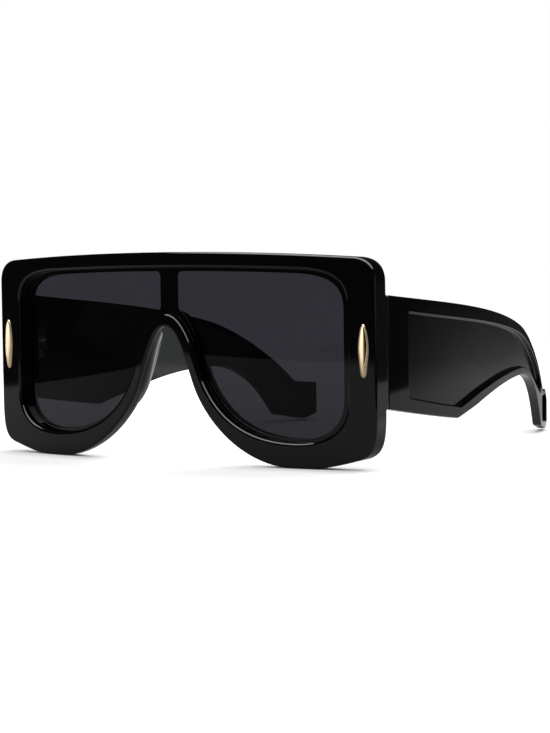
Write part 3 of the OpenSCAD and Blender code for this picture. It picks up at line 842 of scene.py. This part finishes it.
marking = {
    "scratchTurns": (0.35, 1.9), "scratchLean": 0.4, "scratchThin": 0.035,
    "scratchDetail": 2.0, "scratchCut": (0.70, 0.78), "waveDetail": 1.0,
    # scale, detail and roughness of the noise
    "smudgeNoise": (34.0, 4.0, 0.6), "smudgeRange": (0.45, 0.75), "speckSize": (0.10, 0.04),
    "dustNoise": (70.0, 3.0), "dustRange": (0.55, 0.72), "rubRange": (0.48, 0.66),
    "rubDetail": 5.0, "rubRoughness": 0.7,
}


def buildPolish(m):
    tree, given, out = groupOf("polishMarks", {"Scratch Scale": 900.0, "Scratch Amount": 0.3,
                               "Wave Scale": 90.0}, "Scratches", "Smudge", "Height")
    lines = []
    for turn in m["scratchTurns"]:
        lean = (turn, m["scratchLean"] * turn, turn)
        spun = nodeOf(tree, "Mapping", {"Vector": given["Vector"], "Rotation": lean,
                                        "Scale": (1.0, m["scratchThin"], 1.0)}).outputs[0]
        noise = noiseOf(tree, spun, given["Scratch Scale"], m["scratchDetail"])
        lines.append(mapRange(tree, noise, *m["scratchCut"]))
    both = math2(tree, "MAXIMUM", *lines)
    wide = noiseOf(tree, given["Vector"], *m["smudgeNoise"])
    wave = noiseOf(tree, given["Vector"], given["Wave Scale"], m["waveDetail"])
    plug(tree, out, {"Scratches": product(tree, both, given["Scratch Amount"]),
                     "Smudge": mapRange(tree, wide, *m["smudgeRange"]), "Height": wave})
    return tree


def buildDust(m):
    tree, given, out = groupOf("dustSpecks", {"Scale": 420.0, "Amount": 0.1}, "Mask")
    cells = nodeOf(tree, "TexVoronoi", {"Vector": given["Vector"], "Scale": given["Scale"]})
    speck = mapRange(tree, cells.outputs["Distance"], *m["speckSize"])
    where = mapRange(tree, noiseOf(tree, given["Vector"], *m["dustNoise"]), *m["dustRange"])
    plug(tree, out, {"Mask": product(tree, speck, where, given["Amount"])})
    return tree


def buildWear(m):
    tree, given, out = groupOf("edgeRub", {"Edge": 0.0, "Scale": 260.0, "Amount": 0.3}, "Mask")
    rub = noiseOf(tree, given["Vector"], given["Scale"], m["rubDetail"], m["rubRoughness"])
    rub = mapRange(tree, rub, *m["rubRange"])
    plug(tree, out, {"Mask": product(tree, rub, given["Edge"], given["Amount"])})
    return tree


polishMarks, dustSpecks, edgeRub = buildPolish(marking), buildDust(marking), buildWear(marking)

blackLook = {"colour": (0.0010, 0.0010, 0.0011, 1), "rubbed": (0.005, 0.005, 0.0055, 1),
             "dust": (0.06, 0.06, 0.06, 1), "rough": 0.045, "panelRough": 0.16, "ior": 1.49,
             "scratchScale": 700.0, "scratchAmount": 0.25, "scratchRough": 0.12,
             "smudgeRough": 0.03, "wave": 60.0, "waveStrength": 0.15, "waveDeep": 0.00012,
             "dustAmount": 0.12, "dustRough": 0.5, "rubAmount": 0.3, "rubRough": 0.15}


def blackPlastic(name, look):
    mat, tree, shader = newMaterial(name)
    place = objectPlace(tree)
    marks = nodeOf(tree, "Group", {"Vector": place, "Scratch Scale": look["scratchScale"],
                   "Scratch Amount": look["scratchAmount"], "Wave Scale": look["wave"]},
                   node_tree=polishMarks).outputs
    dust = nodeOf(tree, "Group", {"Vector": place, "Amount": look["dustAmount"]},
                  node_tree=dustSpecks).outputs["Mask"]
    rub = nodeOf(tree, "Group", {"Vector": place, "Edge": attributeOf(tree, "edge"),
                 "Amount": look["rubAmount"]}, node_tree=edgeRub).outputs["Mask"]
    colour = mixColour(tree, rub, look["colour"], look["rubbed"])
    colour = mixColour(tree, dust, colour, look["dust"])
    rough = mapRange(tree, attributeOf(tree, "panel"), 0.0, 1.0, look["rough"], look["panelRough"])
    rough = total(tree, rough, product(tree, marks["Scratches"], look["scratchRough"]),
                  product(tree, marks["Smudge"], look["smudgeRough"]),
                  product(tree, dust, look["dustRough"]), product(tree, rub, look["rubRough"]))
    bump = nodeOf(tree, "Bump", {"Height": marks["Height"],
                  "Strength": look["waveStrength"], "Distance": look["waveDeep"]}).outputs[0]
    plug(tree, shader, {"Base Color": colour, "Roughness": rough, "Normal": bump})
    shader.inputs["IOR"].default_value = look["ior"]
    return mat


lensLook = {"tint": (0.031, 0.029, 0.036, 1), "smudged": 0.93, "smudgeRough": 0.012, "ior": 1.26,
            "scratchScale": 500.0, "scratchAmount": 0.15, "wave": 20.0}


def greyGlass(name, look):
    mat, tree, shader = newMaterial(name)
    smudge = nodeOf(tree, "Group", {"Vector": objectPlace(tree),
                    "Scratch Scale": look["scratchScale"], "Scratch Amount": look["scratchAmount"],
                    "Wave Scale": look["wave"]}, node_tree=polishMarks).outputs["Smudge"]
    deeper = tuple(c * look["smudged"] for c in look["tint"][:3]) + (1,)
    plug(tree, shader, {"Base Color": mixColour(tree, smudge, look["tint"], deeper),
                        "Roughness": product(tree, smudge, look["smudgeRough"])})
    shader.inputs["Transmission Weight"].default_value = 1.0
    shader.inputs["IOR"].default_value = look["ior"]
    return mat


# the dark brown groove colour is painted shade, laid into each accent's groove by its depth
goldLook = {"colour": (0.98, 0.78, 0.52, 1), "worn": (0.90, 0.68, 0.42, 1),
            "wornFrom": (0.35, 0.7), "paintedGrooveShade": (0.035, 0.018, 0.006, 1),
            "paintedGrooveShadeFrom": (0.15, 0.55), "rough": (0.25, 0.37), "grain": (1.0, 1.0, 0.06),
            "lineScale": 2600.0, "lineDetail": 3.0, "lineRange": (0.3, 0.7), "bump": 0.1,
            "bumpDeep": 0.00002}

steelLook = {"colour": (0.56, 0.56, 0.57, 1), "worn": (0.40, 0.40, 0.42, 1),
             "wornFrom": (0.45, 0.75), "stainScale": 400.0, "stainDetail": 4.0,
             "rough": (0.18, 0.36), "grain": (0.08, 0.08, 1.0), "lineScale": 3800.0,
             "lineDetail": 2.0, "lineRange": (0.3, 0.7), "bump": 0.12, "bumpDeep": 0.00002}


def brushedMetal(name, look):
    mat, tree, shader = newMaterial(name)
    place = objectPlace(tree)
    grain = nodeOf(tree, "Mapping", {"Vector": place, "Scale": look["grain"]}).outputs[0]
    lines = wear = noiseOf(tree, grain, look["lineScale"], look["lineDetail"])
    if "stainScale" in look:
        wear = noiseOf(tree, place, look["stainScale"], look["stainDetail"])
    colour = mixColour(tree, mapRange(tree, wear, *look["wornFrom"]), look["colour"], look["worn"])
    # painted shade: darkens the accent's groove by the depth stored in its edge mark
    if "paintedGrooveShade" in look:
        groove = mapRange(tree, attributeOf(tree, "edge"), *look["paintedGrooveShadeFrom"])
        colour = mixColour(tree, groove, colour, look["paintedGrooveShade"])
    bump = nodeOf(tree, "Bump", {"Height": lines, "Strength": look["bump"],
                  "Distance": look["bumpDeep"]}).outputs[0]
    plug(tree, shader, {"Base Color": colour, "Normal": bump,
                        "Roughness": mapRange(tree, lines, *look["lineRange"], *look["rough"])})
    shader.inputs["Metallic"].default_value = 1.0
    return mat


blackMat = blackPlastic("polishedBlack", blackLook)
lensMat = greyGlass("smokeGrey", lensLook)
goldMat = brushedMetal("satinGold", goldLook)
steelMat = brushedMetal("hingeSteel", steelLook)


def dress(obj, mat):
    obj.data.materials.clear()
    obj.data.materials.append(mat)


def settle(obj, mat, body, slot, *nodes):
    dress(obj, mat)
    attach(obj, body)
    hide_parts(*nodes)


settle(frontPiece, blackMat, "front", "black_acetate", "front_frame")
for side in ("left", "right"):
    settle(lensPieces[side], lensMat, "front", "grey_lens", side + "_lens")
    settle(padPieces[side], blackMat, "front", "black_acetate", side + "_nose_pad")
    settle(accentPieces[side], goldMat, "front", "gold_metal", side + "_accent")
    settle(templePieces[side], blackMat, side + "_temple_arm", "black_acetate", side + "_temple")
for name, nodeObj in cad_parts.items():
    if "hinge" in name or "core" in name:
        dress(nodeObj, steelMat)

hingeSizes = {
    "edge": 0.09, "pinEdge": 0.07,
    "proud": 0.2,   # a temple's leaf and screws stand this far out, to show
    "pinX": 68.6, "pinY": 17.0, "z": 36.0, "lean": 2.5, "leafWidth": 3.6, "leafLength": 9.5,
    "headGap": 0.06, "frontBack": 14.3, "endGap": 2.4, "apart": 4.6, "seed": 7,
    "headRadius": 0.9, "headHeight": 0.42, "shankRadius": 0.5, "shankLength": 1.9,
    "slotWidth": 0.3, "slotDeep": 0.24, "headFacets": (36, 20), "shankFacets": 28,
    "headRoom": 1.5, "slotReach": 3.0,
}
screwKeys = {"Head Radius": "headRadius", "Head Height": "headHeight",
             "Shank Radius": "shankRadius", "Shank Length": "shankLength",
             "Slot Width": "slotWidth", "Slot Depth": "slotDeep", "Seed": "seed"}


def buildScrewTree(h):
    tree = bpy.data.node_groups.new("leafScrews", "GeometryNodeTree")
    face = tree.interface
    face.new_socket("Geometry", in_out="INPUT", socket_type="NodeSocketGeometry")
    names = {}
    for label, key in screwKeys.items():
        kind = "NodeSocketInt" if label == "Seed" else "NodeSocketFloat"
        socket = face.new_socket(label, in_out="INPUT", socket_type=kind)
        socket.default_value = h[key]
        names[label] = socket.identifier
    face.new_socket("Geometry", in_out="OUTPUT", socket_type="NodeSocketGeometry")
    given, out = tree.nodes.new("NodeGroupInput").outputs, tree.nodes.new("NodeGroupOutput")

    def made(kind, inputs, **settings):
        return node(tree, kind, inputs, **settings).outputs[0]

    def shape(kind, inputs, **settings):
        return made("GeometryNode" + kind, inputs, **settings)

    def size(x, y, z):
        return made("ShaderNodeCombineXYZ", {"X": x, "Y": y, "Z": z})

    radius, high, length = given["Head Radius"], given["Head Height"], given["Shank Length"]
    segments, rings = h["headFacets"]
    dome = shape("MeshUVSphere", {"Segments": segments, "Rings": rings, "Radius": 1.0})
    head = shape("Transform", {"Geometry": dome, "Scale": size(radius, radius, high)})
    rod = shape("MeshCylinder", {"Vertices": h["shankFacets"], "Depth": length,
                "Radius": given["Shank Radius"]})
    down = size(0.0, 0.0, product(tree, length, -0.5))
    shank = shape("Transform", {"Geometry": rod, "Translation": down})
    whole = node(tree, "GeometryNodeMeshBoolean", {"Mesh 2": head}, operation="UNION")
    tree.links.new(shank, whole.inputs["Mesh 2"])
    reach = product(tree, radius, h["slotReach"])
    deep = product(tree, given["Slot Depth"], 2.0)
    bar = shape("MeshCube", {"Size": size(reach, given["Slot Width"], deep)})
    slot = shape("Transform", {"Geometry": bar, "Translation": size(0.0, 0.0, high)})
    cut = shape("MeshBoolean", {"Mesh 1": whole.outputs["Mesh"], "Mesh 2": slot},
                operation="DIFFERENCE")
    axis = shape("InputNamedAttribute", {"Name": "axis"}, data_type="FLOAT_VECTOR")
    turn = node(tree, "FunctionNodeRandomValue", {"Seed": given["Seed"]}, data_type="FLOAT")
    for socket, value in (("Min", 0.0), ("Max", math.pi)):
        [k for k in turn.inputs if k.name == socket and k.enabled][0].default_value = value
    spin = size(0.0, 0.0, [k for k in turn.outputs if k.enabled][0])
    aim = made("FunctionNodeAlignRotationToVector", {"Vector": axis}, axis="Z")
    aimed = made("FunctionNodeRotateRotation", {0: aim, 1: spin}, rotation_space="LOCAL")
    spread = shape("InstanceOnPoints", {"Points": given["Geometry"], "Instance": cut,
                   "Rotation": aimed, "Scale": (mm, mm, mm)})
    real = shape("RealizeInstances", {"Geometry": spread})
    last = shape("SetMaterial", {"Geometry": real, "Material": steelMat})
    tree.links.new(last, out.inputs[0])
    return tree, names


def makeScrews(h, name, places):  # places are (point, axis) in millimetres
    mesh = bpy.data.meshes.new(name + "Points")
    mesh.from_pydata([Vector(point) * mm for point, _ in places], [], [])
    axes = mesh.attributes.new("axis", "FLOAT_VECTOR", "POINT")
    axes.data.foreach_set("vector", [c for _, axis in places for c in axis])
    holder = newObject(name, mesh)
    mod = holder.modifiers.new("screws", "NODES")
    mod.node_group = screwTree
    for label, key in screwKeys.items():
        mod[screwInputs[label]] = h[key]
    graph = bpy.context.evaluated_depsgraph_get()
    result = bpy.data.meshes.new_from_object(holder.evaluated_get(graph))
    holder.modifiers.remove(mod)
    holder.data = result
    result.name = name
    result.shade_smooth()
    result.set_sharp_from_angle(angle=math.radians(overall["sharpFrom"]))
    return holder


def leafPlaces(h, s):  # where the small screws go on the two leaves of one side, s is 1 or -1
    shiftY = overall["shiftY"]
    frontX = h["pinX"] - h["leafWidth"] + h["headRadius"] + h["headGap"]
    frontOnes = [((s * frontX, h["frontBack"] + shiftY, h["z"] + k * h["apart"] / 2), (0, 1, 0))
                 for k in (-1, 1)]
    fromBend = temple["bulgeAt"] - h["endGap"]
    turn, lean = math.asin(fromBend / temple["radius"]), math.radians(h["lean"])
    bendX, _, shift, innerR = templeBend(temple)
    x = (bendX + math.sqrt(innerR ** 2 - (fromBend + shift) ** 2) - h["pinX"]) * math.cos(turn)
    templeOnes = []
    for back in (0, h["apart"]):
        y = h["leafLength"] - h["headRadius"] * h["headRoom"] - back
        out = h["pinX"] + x * math.cos(turn) + y * math.sin(turn) - h["proud"]
        run = y * math.cos(turn) - x * math.sin(turn)
        spot = (s * out, h["pinY"] + run * math.cos(lean) + shiftY, h["z"] + run * math.sin(lean))
        templeOnes.append((spot, (-s * math.cos(turn), math.sin(turn), 0)))
    return frontOnes, templeOnes


screwTree, screwInputs = buildScrewTree(hingeSizes)
frontPlaces = []
for side, s in (("left", 1), ("right", -1)):
    frontOnes, templeOnes = leafPlaces(hingeSizes, s)
    frontPlaces += frontOnes
    inward = (-s * hingeSizes["proud"], 0, 0)
    body, edge = side + "_temple_arm", hingeSizes["edge"]
    for made, rider, replaced in (
            (fromNode(side + "_front_hinge", side + "FrontLeaf", edge), "front", "_front_hinge"),
            (fromNode(side + "_hinge_screw", side + "HingePin", hingeSizes["pinEdge"]), "front",
             "_hinge_screw"),
            (fromNode(side + "_temple_hinge", side + "TempleLeaf", edge, inward), body,
             "_temple_hinge"),
            (makeScrews(hingeSizes, side + "TempleLeafScrews", templeOnes), body,
             "_temple_hinge_screws")):
        settle(made, steelMat, rider, "hinge_steel", side + replaced)
settle(makeScrews(hingeSizes, "frontLeafScrews", frontPlaces), steelMat, "front", "hinge_steel",
       "left_front_hinge_screws", "right_front_hinge_screws")
print("hinges and screws made")


view = {"eye": (408.51, -611.01, 68.55), "target": (48.11, -88.78, 32.11), "roll": -0.77,
        "lens": 103.23, "sensor": 36.0, "clip": (0.01, 50)}


def aimed(name, data, place, target, roll):
    obj = newObject(name, data)
    way = Vector(target) - Vector(place)
    turn = way.to_track_quat("-Z", "Y") @ Quaternion((0, 0, 1), math.radians(roll))
    obj.matrix_world = Matrix.LocRotScale(Vector(place), turn, None)
    return obj


def placeCamera(v):
    cam = aimed("photoCamera", bpy.data.cameras.new("photoCamera"), Vector(v["eye"]) * mm,
                Vector(v["target"]) * mm, v["roll"])
    cam.data.lens = v["lens"]
    cam.data.sensor_width = v["sensor"]
    cam.data.clip_start, cam.data.clip_end = v["clip"]
    bpy.context.scene.camera = cam


studio = {
    "floorSize": (0.66, 1.34), "floorCentre": (-0.04, 0.03),
    # the floor glows evenly; contact sets how far the painted contact shadow in that glow spreads
    "floorWhite": 0.95, "floorGlow": 0.70, "contact": 0.012, "contactSamples": 12,
    # painted reflection: how much of the floor shows in reflections, nearby and further to each
    # side
    "glossNear": 0.23, "glossLeft": 0.12, "leftSpan": (0.0, -0.3), "glossBack": 0.10,
    "backSpan": (-0.15, 0.15), "glossFar": -0.22, "farSpan": (0.36, 0.50),
    "glossUnder": 0.3, "underAt": (0.078, 0.05, 0.0), "underSpan": (0.10, 0.03), "lensShare": 0.5,
    "keyCentre": (0.05, 1.0, 1.3), "keySize": (1.8, 1.2), "keyPower": 17.0,
    "boxHeight": 1.0, "boxCentre": (0.3, -0.125), "boxSize": (2.0, 1.55), "boxPower": 48.8,
    "cardCentre": (-0.42, -0.62, 0.10), "cardTarget": (0.0, -0.075, 0.036),
    "cardSize": (0.95, 0.5), "cardPower": 3.0,
    "innerCentre": (0.1414, 0.1668, 0.0232), "innerTarget": (-0.068, 0.011, 0.030),
    "innerRoll": 30.2, "innerSize": (0.07, 0.030), "innerPower": 0.0044,
    "innerColour": (0.92, 1.0, 0.95),
    "padCentre": (0.01, 0.085, 0.001), "padTarget": (0.01, 0.085, 1.0),
    "padSize": (0.12, 0.12), "padPower": 0.034,
    "backdrop": 1.0, "fill": 0.36, "dark": 0.028,
    # paler parts of the dark room that the black shows: how bright, where across, where in height
    "sideGlow": 0.25, "sideAcross": (0.83, 0.88), "sideFoot": (-0.06, -0.03),
    "sideTop": (0.35, 0.15), "backGlow": 0.03, "backAcross": (0.80, 0.88), "backTop": (0.03, -0.01),
}


def makeFloor(s):
    (width, depth), (x, y) = s["floorSize"], s["floorCentre"]
    mesh = bpy.data.meshes.new("paleTable")
    mesh.from_pydata([(x + a * width / 2, y + b * depth / 2, 0)
                      for a, b in ((-1, -1), (1, -1), (1, 1), (-1, 1))], [], [(0, 1, 2, 3)])
    obj = newObject("paleTable", mesh)
    mat, tree, shader = newMaterial("paleTable")
    path = nodeOf(tree, "LightPath").outputs
    spot = objectPlace(tree)
    place = nodeOf(tree, "SeparateXYZ", {"Vector": spot}).outputs
    apart = nodeOf(tree, "VectorMath", {0: spot, 1: s["underAt"]},
                   operation="DISTANCE").outputs["Value"]
    # painted reflection: reflection rays see the floor dimmer than the camera does, and brighter
    # near the temple's foot
    shown = total(tree, mapRange(tree, place["X"], *s["leftSpan"], 0.0, s["glossLeft"]),
                  mapRange(tree, place["Y"], *s["backSpan"], 0.0, s["glossBack"]), s["glossNear"],
                  mapRange(tree, place["Y"], *s["farSpan"], 0.0, s["glossFar"]))
    under = mapRange(tree, apart, *s["underSpan"], 0.0, s["glossUnder"])
    hidden = math2(tree, "SUBTRACT", 1.0, math2(tree, "ADD", shown, under, clamp=True))
    lens = product(tree, path["Is Transmission Ray"], s["lensShare"])
    less = product(tree, path["Is Glossy Ray"], hidden, math2(tree, "SUBTRACT", 1.0, lens))
    shade = product(tree, math2(tree, "SUBTRACT", 1.0, less), s["floorWhite"])
    colour = nodeOf(tree, "CombineColor",
                    {"Red": shade, "Green": shade, "Blue": shade}).outputs[0]
    # painted shadow: ambient occlusion darkens the floor's glow near the glasses, as contact shadow
    near = nodeOf(tree, "AmbientOcclusion", {"Color": colour, "Distance": s["contact"]},
                  samples=s["contactSamples"]).outputs["Color"]
    plug(tree, shader, {"Base Color": colour, "Emission Color": near})  # lit as in a white tent
    shader.inputs["Emission Strength"].default_value = s["floorGlow"]
    shader.inputs["Roughness"].default_value = 1.0
    shader.inputs["Specular IOR Level"].default_value = 0.0
    dress(obj, mat)


def areaLight(name, centre, target, size, power, diffuse=False, roll=0.0):
    light = bpy.data.lights.new(name, "AREA")
    light.shape = "RECTANGLE"
    light.size, light.size_y = size
    light.energy = power
    obj = aimed(name, light, centre, target, roll)
    obj.visible_camera = obj.visible_transmission = False
    obj.visible_diffuse, obj.visible_glossy = diffuse, not diffuse
    return obj


def makeLights(s):
    areaLight("softKey", s["keyCentre"], (0, 0, 0), s["keySize"], s["keyPower"], diffuse=True)
    above = (*s["boxCentre"], s["boxHeight"])
    areaLight("overheadBox", above, (*s["boxCentre"], 0), s["boxSize"], s["boxPower"])
    # cards that only some pieces reflect
    for name, pieces in (("card", list(accentPieces.values())), ("inner", [templePieces["right"]]),
                         ("pad", list(padPieces.values()))):
        card = areaLight(name + "Light", s[name + "Centre"], s[name + "Target"], s[name + "Size"],
                         s[name + "Power"], roll=s.get(name + "Roll", 0.0))
        card.data.color = s.get(name + "Colour", (1, 1, 1))
        lit = bpy.data.collections.new("litBy" + name.capitalize())
        for piece in pieces:
            lit.objects.link(piece)
        card.light_linking.receiver_collection = lit


def makeWorld(s):
    world = bpy.data.worlds.new("studio")
    bpy.context.scene.world = world
    world.use_nodes = True
    tree = world.node_tree
    tree.nodes.clear()
    path = nodeOf(tree, "LightPath").outputs
    seen = math2(tree, "MAXIMUM", path["Is Camera Ray"], path["Is Transmission Ray"])
    way = nodeOf(tree, "SeparateXYZ",
                 {"Vector": nodeOf(tree, "TexCoord").outputs["Generated"]}).outputs
    side = product(tree, mapRange(tree, way["X"], *s["sideAcross"], 0.0, s["sideGlow"]),
                   mapRange(tree, way["Z"], *s["sideFoot"]),
                   mapRange(tree, way["Z"], *s["sideTop"]))
    behind = product(tree, mapRange(tree, way["Y"], *s["backAcross"], 0.0, s["backGlow"]),
                     mapRange(tree, way["Z"], *s["backTop"]))
    gloss = total(tree, math2(tree, "MAXIMUM", side, behind), s["dark"])
    soft = product(tree, path["Is Diffuse Ray"], s["fill"])
    rest = product(tree, math2(tree, "MAXIMUM", gloss, soft), math2(tree, "SUBTRACT", 1.0, seen))
    strength = total(tree, product(tree, seen, s["backdrop"]), rest)
    background = nodeOf(tree, "Background", {"Strength": strength, "Color": (1, 1, 1, 1)})
    output = nodeOf(tree, "OutputWorld")
    tree.links.new(background.outputs[0], output.inputs[0])


placeCamera(view)
makeFloor(studio)
makeLights(studio)
makeWorld(studio)
bpy.context.scene.view_settings.view_transform = "Standard"
print("studio made")
